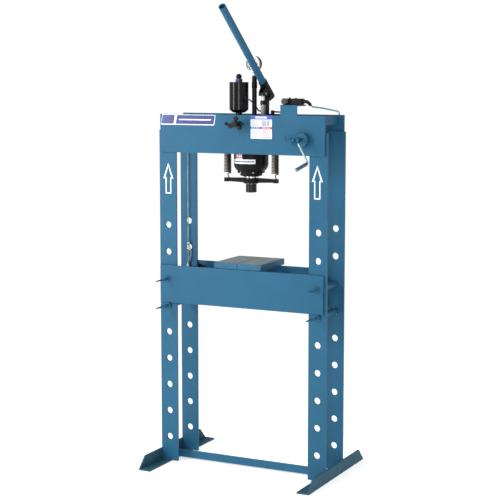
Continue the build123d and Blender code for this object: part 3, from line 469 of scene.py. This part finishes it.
def make_label(name, y, patches):
    """Printed label on a flat face: patches are (material, outline in mm), each a hair above the last."""
    materials = []
    bm = bmesh.new()
    for layer, (material, outline) in enumerate(patches):
        if material not in materials:
            materials.append(material)
        place = facing_front(y)
        depth = label_t + layer_step * min(layer, 6)
        prism(bm, [(px * mm, pz * mm) for px, pz in outline], place, depth, materials.index(material))
    finish_mesh(name, bm, materials, FRAME_BODY, smooth=False)


# The label's left, right, bottom and top in mm, and its fields and rows of blocks from those edges
x0, x1, z0, z1 = 46.0, 138.0, 1341.0, 1431.0
rows = [(label_white, rectangle(x0, z0, x1, z1)), (label_blue, rectangle(x0, z1 - 15, x1, z1)),
        (label_white, rectangle(x0 + 20, z1 - 11, x1 - 22, z1 - 4)),
        (label_blue, rectangle(x0, z0 + 38, x0 + 44, z0 + 46)),
        (label_crimson, rectangle(x0 + 44, z0 + 38, x1, z0 + 46))]
for i in range(5):
    row_z = z1 - row_pitch * i
    rows.append((label_grey, rectangle(x0 + 6, row_z - 21, x0 + 38 - (7 * i) % 13, row_z - 19)))
    for column in (50, 60, 72):
        rows.append((label_steel, rectangle(x0 + column, row_z - 22, x0 + column + 8, row_z - 19)))
for i in range(4):
    rows.append((label_white, rectangle(x0 + 4 + 9.5 * i, z0 + 40, x0 + 9 + 9.5 * i, z0 + 44)))
    rows.append((label_white, rectangle(x0 + 50 + 9.5 * i, z0 + 40, x0 + 55 + 9.5 * i, z0 + 44)))
for i in range(7):
    row_z = z0 + row_pitch * i
    rows.append((label_grey, rectangle(x0 + 6, row_z + 5, x0 + 40 - (5 * i) % 9, row_z + 6.6)))
    rows.append((label_red if i % 2 == 0 else label_grey,
                 rectangle(x0 + 48, row_z + 5, x1 - 5 - (7 * i) % 12, row_z + 6.6)))
make_label("instruction_label", front_face, rows)


def slanted(px0, pz0, px1, pz1, lean):
    """Rectangle leaning to the right by this much over its height, with cut corners."""
    cut = 2.5
    return [(px0 + cut, pz0), (px1 - lean - cut, pz0), (px1 - lean, pz0 + cut), (px1, pz1 - cut),
            (px1 - cut, pz1), (px0 + lean + cut, pz1), (px0 + lean, pz1 - cut), (px0, pz0 + cut)]


badge = [(label_grey, slanted(-357.0, 1389.0, -108.0, 1431.0, 6.0)),
         (arrow_white, slanted(-356.0, 1390.0, -109.0, 1430.0, 6.0)),
         (label_navy, slanted(-355.0, 1393.0, -292.0, 1428.5, 6.0)),
         (label_navy, slanted(-288.5, 1393.0, -111.0, 1428.5, 6.0)),
         (arrow_white, slanted(-276.0, 1408.5, -126.0, 1413.0, 3.0))]
make_label("maker_badge", front_face, badge)


def arrow_outline(cx, base, height, grow):
    """Up arrow's outline, moved outwards by grow."""
    half, neck, head = 13.0 + grow, height - 63.0 - grow * 0.4, 23.0 + grow * 1.9
    tip = height + grow * 2.6
    return [(cx - half, base - grow), (cx + half, base - grow), (cx + half, base + neck - grow * 0.6),
            (cx + head, base + neck - grow * 0.6), (cx, base + tip), (cx - head, base + neck - grow * 0.6),
            (cx - half, base + neck - grow * 0.6)]


def make_arrow(name, cx, base, height, y):
    """Outlined up arrow on a post; its centre, base and height are in mm."""
    outer = arrow_outline(cx, base, height, 0.0)
    inner = arrow_outline(cx, base, height, -arrow_line)
    bm = bmesh.new()
    place = facing_front(y)
    rings = [[bm.verts.new(place @ Vector((px * mm, pz * mm, depth))) for px, pz in outline]
             for outline, depth in ((outer, 0.0), (outer, label_t), (inner, label_t), (inner, 0.0))]
    count = len(outer)
    for a, b in zip(rings, rings[1:] + rings[:1]):
        for i in range(count):
            j = (i + 1) % count
            bm.faces.new((a[i], a[j], b[j], b[i]))
    finish_mesh(name, bm, [arrow_white], FRAME_BODY, smooth=False)


post_face_y = post_low.y
make_arrow("left_arrow", -329.0, 1111.5, 124.0, post_face_y)
make_arrow("right_arrow", 327.0, 1114.0, 130.0, post_face_y)


def make_barrel_label():
    """Badge wrapped round the front of the cylinder."""
    flange_overhang = 16.0 * mm
    paper, printed = 0.25, 0.32
    radius = (barrel_high.x - barrel_low.x) / 2 - flange_overhang
    materials = [label_white, label_crimson, label_black]
    bm = bmesh.new()

    def patch(a0, a1, low, high, index, lift):
        """Field between two angles from the front and two heights in mm, raised by lift in mm."""
        steps = max(2, int(abs(a1 - a0) / 4))
        grid = []
        for r in (radius + 0.02 * mm, radius + lift * mm):
            for z in (low, high):
                grid.append([bm.verts.new((ram_x + r * math.sin(math.radians(a0 + (a1 - a0) * k / steps)),
                                           ram_y - r * math.cos(math.radians(a0 + (a1 - a0) * k / steps)),
                                           z * mm)) for k in range(steps + 1)])
        inner_low, inner_high, outer_low, outer_high = grid
        faces = []
        for k in range(steps):
            for a, b in ((outer_low, outer_high), (outer_high, inner_high), (inner_high, inner_low),
                         (inner_low, outer_low)):
                faces.append(bm.faces.new((a[k], a[k + 1], b[k + 1], b[k])))
        for k in (0, steps):
            faces.append(bm.faces.new((inner_low[k], inner_high[k], outer_high[k], outer_low[k])))
        for face in faces:
            face.material_index = index

    patch(-47, 40, 1239.0, 1257.0, 0, paper)
    patch(-34, -6, 1257.0, 1281.0, 0, paper)
    for row in range(2):
        for k in range(3):
            patch(-32 + 9.5 * k, -26 + 9.5 * k, 1260.0 + 10.5 * row, 1267.0 + 10.5 * row, 1, printed)
    patch(-42, 35, 1246.0, 1250.0, 2, printed)
    finish_mesh("cylinder_label", bm, materials, FRAME_BODY)


make_barrel_label()

# ---------------------------------------------------------------- gauge lens, bezel and scale
case_low, case_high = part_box("gauge_case")
dial_low, dial_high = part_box("gauge_dial")
gauge_x = (case_low.x + case_high.x) / 2
gauge_z = (case_low.z + case_high.z) / 2
gauge_r = (dial_high.x - dial_low.x) / 2
case_r = (case_high.x - case_low.x) / 2
zero_angle = 225.0
sweep = 270.0
divisions = 25
ink_t = 0.12 * mm
red_from = 0.8
red_steps = 24


def at_gauge(y):
    return Matrix(((1, 0, 0, gauge_x), (0, 0, -1, y), (0, 1, 0, gauge_z), (0, 0, 0, 1)))


bm = bmesh.new()
lens_y = case_low.y + 3.2 * mm
lathe(bm, [(0.0, 0.0), (gauge_r - 0.1 * mm, 0.0), (gauge_r - 0.1 * mm, 1.4 * mm),
           (gauge_r - 4 * mm, 2.2 * mm), (gauge_r * 0.5, 2.7 * mm), (0.0, 2.9 * mm)], at_gauge(lens_y), 64)
finish_mesh("gauge_lens", bm, [glass], FRAME_BODY)

bm = bmesh.new()
lathe(bm, [(gauge_r - 0.8 * mm, -2.4 * mm), (gauge_r - 0.8 * mm, 0.3 * mm), (gauge_r + 0.8 * mm, 0.9 * mm),
           (case_r - 0.2 * mm, 0.2 * mm), (case_r + 0.35 * mm, -0.8 * mm), (case_r + 0.35 * mm, -5.4 * mm),
           (case_r + 0.05 * mm, -5.4 * mm), (case_r + 0.05 * mm, -0.2 * mm), (gauge_r + 0.6 * mm, 0.05 * mm),
           (gauge_r - 0.2 * mm, -0.4 * mm), (gauge_r - 0.2 * mm, -2.4 * mm), (gauge_r - 0.8 * mm, -2.4 * mm)],
      at_gauge(case_low.y), 72)
finish_mesh("gauge_bezel", bm, [bezel_metal], FRAME_BODY)

bm = bmesh.new()
scale_y = dial_low.y
for i in range(divisions + 1):
    angle = math.radians(zero_angle - sweep * i / divisions)
    major = i % 5 == 0
    outer = gauge_r - 2.6 * mm
    inner = outer - (4.5 if major else 2.2) * mm
    half = (0.35 if major else 0.12) * mm
    direction = Vector((math.cos(angle), math.sin(angle)))
    across = Vector((-direction.y, direction.x)) * half
    corners = [direction * inner - across, direction * outer - across, direction * outer + across,
               direction * inner + across]
    prism(bm, [tuple(c) for c in corners], at_gauge(scale_y), ink_t, 0)
for k in range(red_steps):
    shares = (red_from + (1 - red_from) * end / red_steps for end in (k, k + 1))
    a0, a1 = (math.radians(zero_angle - sweep * share) for share in shares)
    r0, r1 = gauge_r - 2.4 * mm, gauge_r - 1.2 * mm
    prism(bm, [(r * math.cos(a), r * math.sin(a)) for r, a in ((r0, a0), (r1, a0), (r1, a1), (r0, a1))],
          at_gauge(scale_y), ink_t, 1)
finish_mesh("gauge_scale", bm, [label_grey, label_red], FRAME_BODY, smooth=False)


def numeral(text, x, z, size):
    curve = bpy.data.curves.new("gauge_number_" + text, "FONT")
    curve.body = text
    curve.size = size
    curve.align_x = "CENTER"
    curve.align_y = "CENTER"
    curve.extrude = 0.06 * mm
    curve.materials.append(label_steel)
    piece = bpy.data.objects.new("gauge_number_" + text, curve)
    bpy.context.scene.collection.objects.link(piece)
    upright_text = Matrix.Rotation(math.pi / 2, 4, "X")
    piece.matrix_world = Matrix.Translation((x, scale_y - 0.07 * mm, z)) @ upright_text
    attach(piece, FRAME_BODY)


numbers = ("0", "100", "200", "300", "400", "500")
reach = gauge_r - 11.0 * mm
for i, text in enumerate(numbers):
    angle = math.radians(zero_angle - sweep * i / (len(numbers) - 1))
    numeral(text, gauge_x + reach * math.cos(angle), gauge_z + reach * math.sin(angle), 4.0 * mm)

# ---------------------------------------------------------------- lift cables
ram_to_left_cable = 74.1 * mm
ram_to_right_cable = 68.0 * mm
cable_low, cable_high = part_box("lift_cables")
cable_r = 2.0 * mm
strand_r = 0.68 * mm
rope_step = 2.2 * mm
lay = 26.0 * mm
over_pulley_r = 20.3 * mm
eye_r = 4.0 * mm
left_y = ram_y + ram_to_left_cable
right_y = ram_y + ram_to_right_cable
left_x = cable_low.x + cable_r
top_z = cable_high.z - cable_r
drum_r = top_z - winch_z
right_x = winch_x - drum_r
foot_z = cable_low.z


def spaced(points, step):
    """Points this far apart along a polyline."""
    result = [points[0]]
    left = step
    for a, b in zip(points, points[1:]):
        run = (b - a).length
        while left <= run:
            result.append(a.lerp(b, left / run))
            left += step
        left -= run
    return result


def wire_rope(name, route):
    """Stranded cable along a route: six strands laid round its line."""
    bm = bmesh.new()
    line = spaced(route, rope_step)
    last = len(line) - 1
    tangents = [(line[min(i + 1, last)] - line[max(i - 1, 0)]).normalized() for i in range(len(line))]
    side = tangents[0].orthogonal().normalized()
    frames = []
    for tangent in tangents:
        side = (side - tangent * side.dot(tangent)).normalized()
        frames.append((side, tangent.cross(side)))
    for k in range(6):
        strand = []
        for i, (point, (u, w)) in enumerate(zip(line, frames)):
            angle = 2 * math.pi * (i * rope_step / lay + k / 6)
            strand.append(point + (u * math.cos(angle) + w * math.sin(angle)) * (cable_r - strand_r))
        tube_along(bm, strand, strand_r, 5)
    piece = finish_mesh(name, bm, [cable_wire], FRAME_BODY)
    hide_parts("lift_cables")


def arc(centre, radius, start, end, y, steps=14):
    """Points round a centre (x, z) at this y, from one angle to another in degrees."""
    angles = [math.radians(start + (end - start) * k / steps) for k in range(steps + 1)]
    return [Vector((centre[0] + radius * math.cos(a), y, centre[1] + radius * math.sin(a))) for a in angles]


def foot_loop(x, y, up_to, side):
    """Cable's end at the table: down through the eye, then back up to its clip, bowed out to +X or -X."""
    eye_z = foot_z + 8.0 * mm
    bend = arc((eye_r, eye_z), eye_r, 180, 360, y)
    back = []
    for k in range(1, 15):
        f = k / 14
        out = 8.0 * mm - 3.9 * mm * f + 5.5 * mm * math.sin(math.pi * f) ** 2
        back.append(Vector((out, y, eye_z + (up_to - eye_z) * f)))
    loop = bend + back + [Vector((4.6 * mm, y, up_to + 9.0 * mm))]
    return [Vector((x + side * point.x, point.y, point.z)) for point in loop]


clip_z = foot_z + 78.0 * mm
left_line = [Vector((winch_x, left_y, top_z))]
left_line += arc((left_x + over_pulley_r, top_z - over_pulley_r), over_pulley_r, 90, 180, left_y)
left_line += foot_loop(left_x, left_y, clip_z, 1.0)
right_line = arc((winch_x, winch_z), drum_r, 40, 180, right_y) + foot_loop(right_x, right_y, clip_z, -1.0)
wire_rope("left_lift_cable", left_line)
wire_rope("right_lift_cable", right_line)


def torus(bm, centre, ring_r, tube_r, sides=20):
    """Ring in the YZ plane."""
    points = [centre + Vector((0.0, ring_r * math.cos(2 * math.pi * k / sides),
                               ring_r * math.sin(2 * math.pi * k / sides))) for k in range(sides + 1)]
    tube_along(bm, points, tube_r, 8, closed_ends=False)
    bmesh.ops.remove_doubles(bm, verts=bm.verts, dist=1e-6)


def hex_outline(across_flats):
    radius = across_flats / 2 / math.cos(math.radians(30))
    angles = [math.radians(60 * k) for k in range(6)]
    return [(radius * math.cos(a), radius * math.sin(a)) for a in angles]


def upright(x, y, z):
    return Matrix.Translation((x, y, z))


def cable_hardware(name, x, y, side):
    """Eye, its nut and washer, and the cable's clip."""
    bm = bmesh.new()
    torus(bm, Vector((x + side * eye_r, y, foot_z + 7.5 * mm)), 5.6 * mm, 1.7 * mm)
    lathe(bm, [(0.0, 0.0), (8.5 * mm, 0.0), (8.5 * mm, 1.6 * mm), (4.2 * mm, 1.6 * mm), (0.0, 1.6 * mm)],
          upright(x, y, foot_z - 18.4 * mm), 28)
    prism(bm, hex_outline(13.0 * mm), upright(x, y, foot_z - 16.8 * mm), 7.0 * mm)
    for dz in (0.0, 24.0):
        grip = Matrix.Translation((x + side * 2.3 * mm, y - 3.0 * mm, clip_z - dz * mm))
        prism(bm, [(-6.5 * mm, -2.2 * mm), (6.5 * mm, -2.2 * mm), (6.5 * mm, 3.0 * mm), (5.0 * mm, 5.4 * mm),
                   (-5.0 * mm, 5.4 * mm), (-6.5 * mm, 3.0 * mm)], grip, 6.0 * mm)
    finish_mesh(name, bm, [steel_turned], FRAME_BODY, bevel=0.3 * mm)


cable_hardware("left_cable_eye", left_x, left_y, 1.0)
cable_hardware("right_cable_eye", right_x, right_y, -1.0)

# ---------------------------------------------------------------- socket-head screws
screws_low, screws_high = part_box("socket_screws")
block_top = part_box("manifold_block")[1].z
cap_r = 8.0 * mm
gland_cap_h = 5.5 * mm
gland_circle_r = 50.5 * mm


def cap_screw(bm, place, radius, height, socket):
    """Cap screw head with a hexagonal socket, its base at the place's origin."""
    sides = 36
    angles = [2 * math.pi * k / sides for k in range(sides)]

    def ring(profile, z):
        return [bm.verts.new(place @ Vector((profile(a) * math.cos(a), profile(a) * math.sin(a), z)))
                for a in angles]

    def hexagon(a):
        return socket / math.cos((a + math.pi / 6) % (math.pi / 3) - math.pi / 6)

    rings = [ring(lambda a: radius, 0.0), ring(lambda a: radius, height * 0.9),
             ring(lambda a: radius * 0.93, height), ring(hexagon, height), ring(hexagon, height * 0.45)]
    for low, high in zip(rings, rings[1:]):
        for k in range(sides):
            m = (k + 1) % sides
            bm.faces.new((low[k], low[m], high[m], high[k]))
    bm.faces.new(rings[0])
    bm.faces.new(rings[-1])


bm = bmesh.new()
for x in (screws_low.x + cap_r, screws_high.x - cap_r):
    for y in (screws_low.y + cap_r, screws_high.y - cap_r):
        cap_screw(bm, upright(x, y, block_top), cap_r, 8.0 * mm, 4.0 * mm)
top_screws = finish_mesh("manifold_screws", bm, [black_oxide], FRAME_BODY)
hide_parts("socket_screws")

bm = bmesh.new()
for k in range(6):
    angle = math.radians(5 + 60 * k)
    base = (ram_x + gland_circle_r * math.cos(angle), ram_y + gland_circle_r * math.sin(angle),
            screws_low.z + gland_cap_h)
    upside_down = Matrix.Translation(base) @ Matrix.Rotation(math.pi, 4, "X")
    cap_screw(bm, upside_down, 5.0 * mm, gland_cap_h, 2.5 * mm)
gland_screws = finish_mesh("gland_screws", bm, [steel_turned], FRAME_BODY)
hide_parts("socket_screws")

# ---------------------------------------------------------------- weld beads
random.seed(7)


def weld(bm, start, end, size):
    """Rippled fillet bead between two points, half buried in the corner it fills."""
    run = end - start
    count = max(4, int(run.length / (1.5 * mm)))
    points = [start.lerp(end, k / count) for k in range(count + 1)]
    direction = run.normalized()
    side = direction.orthogonal().normalized()
    up = direction.cross(side)
    rings = []
    for k, point in enumerate(points):
        swell = size * (0.8 + 0.2 * math.sin(k * 2.1) + random.uniform(-0.07, 0.07))
        if k in (0, count):
            swell *= 0.45
        rings.append([bm.verts.new(point + (side * math.cos(math.pi * j / 4)
                                            + up * math.sin(math.pi * j / 4)) * swell) for j in range(8)])
    for low, high in zip(rings, rings[1:]):
        for j in range(8):
            m = (j + 1) % 8
            bm.faces.new((low[j], low[m], high[m], high[j]))
    bm.faces.new(rings[0])
    bm.faces.new(rings[-1])


bm = bmesh.new()
seat_low, seat_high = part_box("cylinder_seat")
bracket_low, bracket_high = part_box("valve_bracket")
for side_sign in (-1, 1):
    inner = side_sign * post_low.x
    outer = side_sign * post_high.x
    for y in (post_low.y, post_low.y + post_t, post_high.y - post_t, post_high.y):
        weld(bm, Vector((inner, y, post_low.z)), Vector((outer, y, post_low.z)), 3.0 * mm)
    for y in (post_low.y + post_t, post_high.y - post_t):
        weld(bm, Vector((inner, y, head_low.z)), Vector((inner, y, post_high.z)), 2.6 * mm)
for x in (seat_low.x + 2.0 * mm, seat_high.x - 52.0 * mm):
    for y in (post_low.y, post_high.y):
        weld(bm, Vector((x, y, seat_low.z)), Vector((x + 50.0 * mm, y, seat_low.z)), 2.6 * mm)
bracket_y = bracket_low.y + 5.4 * mm
bracket_z = head_high.z + 0.2 * mm
for x in (bracket_low.x + 4.0 * mm, bracket_high.x - 24.0 * mm):
    weld(bm, Vector((x, bracket_y, bracket_z)), Vector((x + 20.0 * mm, bracket_y, bracket_z)), 2.0 * mm)
finish_mesh("weld_beads", bm, [paint_rough], FRAME_BODY)

# ---------------------------------------------------------------- table's stop bolt and the valve's ring
tie_w = 25.4 * mm
washer_top = 1.8 * mm
bm = bmesh.new()
stop = Matrix.Translation((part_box("table_ties")[0].x + tie_w, ram_y + 40.0 * mm, table_high.z - 15.0 * mm)) \
    @ Matrix.Rotation(math.pi / 2, 4, "Y")
lathe(bm, [(0.0, -1.0 * mm), (11.0 * mm, -1.0 * mm), (11.0 * mm, washer_top), (0.0, washer_top)], stop, 32)
prism(bm, hex_outline(16.0 * mm), stop @ Matrix.Translation((0, 0, washer_top)), 9.0 * mm)
thread = [((4.7 if k % 2 else 4.2) * mm, (10.5 + 0.75 * k) * mm) for k in range(18)]
lathe(bm, [(0.0, 10.0 * mm), (4.7 * mm, 10.0 * mm)] + thread + [(0.0, 24.0 * mm)], stop, 20)
finish_mesh("table_stop_bolt", bm, [black_oxide], FRAME_BODY, bevel=0.3 * mm)

button_low, button_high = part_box("valve_button")
ring_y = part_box("air_valve")[0].y + 3.0 * mm
bore_r = 10.55 * mm
bm = bmesh.new()
button_axis = Matrix(((1, 0, 0, (button_low.x + button_high.x) / 2), (0, 0, -1, ring_y),
                      (0, 1, 0, (button_low.z + button_high.z) / 2), (0, 0, 0, 1)))
lathe(bm, [(bore_r, 0.0), (11.3 * mm, 0.0), (11.6 * mm, 0.5 * mm), (11.6 * mm, 2.4 * mm),
           (11.2 * mm, 3.0 * mm), (bore_r, 3.0 * mm), (bore_r, 0.0)], button_axis, 40)
finish_mesh("valve_ring", bm, [chrome], FRAME_BODY)

# ---------------------------------------------------------------- floor and light
bm = bmesh.new()
bmesh.ops.create_grid(bm, x_segments=2, y_segments=2, size=14.0)
floor_mesh = bpy.data.meshes.new("floor")
bm.to_mesh(floor_mesh)
bm.free()
floor_tree = Tree("floor_finish")
floor_tint = floor_tree.mix(floor_tree.noise(3.0), (0.90, 0.90, 0.90, 1.0), (0.93, 0.93, 0.93, 1.0))
floor_tree.link(floor_tint, "Base Color")
floor_tree.link(floor_tree.ramp(floor_tree.noise(8.0), 0.75, 0.85), "Roughness")
floor_tree.shader.inputs["Specular IOR Level"].default_value = 0.1
floor_tree.shader.inputs["Emission Color"].default_value = (1.0, 1.0, 1.0, 1.0)
floor_tree.shader.inputs["Emission Strength"].default_value = 0.56
floor_mesh.materials.append(floor_tree.material)
floor = bpy.data.objects.new("floor", floor_mesh)
bpy.context.scene.collection.objects.link(floor)
floor.location.z = -0.5 * mm

world = bpy.data.worlds.new("studio")
world.use_nodes = True
sky = world.node_tree
backdrop = sky.nodes.new("ShaderNodeMix")
sky.links.new(sky.nodes.new("ShaderNodeLightPath").outputs["Is Camera Ray"], backdrop.inputs[0])
backdrop.inputs[2].default_value = 0.5
backdrop.inputs[3].default_value = 1.0
sky.links.new(backdrop.outputs[0], sky.nodes["Background"].inputs["Strength"])
sky.nodes["Background"].inputs["Color"].default_value = (1.0, 1.0, 1.0, 1.0)
bpy.context.scene.world = world


def area_light(name, location, target, size, power, shape_y=None):
    """Square light aimed at the target, or a strip where shape_y gives its other side."""
    data = bpy.data.lights.new(name, "AREA")
    data.energy = power
    data.size = size
    if shape_y:
        data.shape = "RECTANGLE"
        data.size_y = shape_y
    lamp = bpy.data.objects.new(name, data)
    bpy.context.scene.collection.objects.link(lamp)
    lamp.location = location
    lamp.rotation_mode = "QUATERNION"
    lamp.rotation_quaternion = (Vector(target) - Vector(location)).to_track_quat("-Z", "Y")


centre = Vector((0.0, 0.0, 1.0))
key_distance = 3.6
key_direction = Vector((-0.66, -1.0, 0.69)).normalized()
area_light("key", centre + key_direction * key_distance, centre, 0.9, 41.0)
area_light("strip_left", Vector((-2.0, -2.25, 1.5)), centre, 0.7, 38.0, 2.4)
area_light("strip_right", Vector((1.2, -2.7, 1.6)), centre, 0.5, 18.0, 2.2)
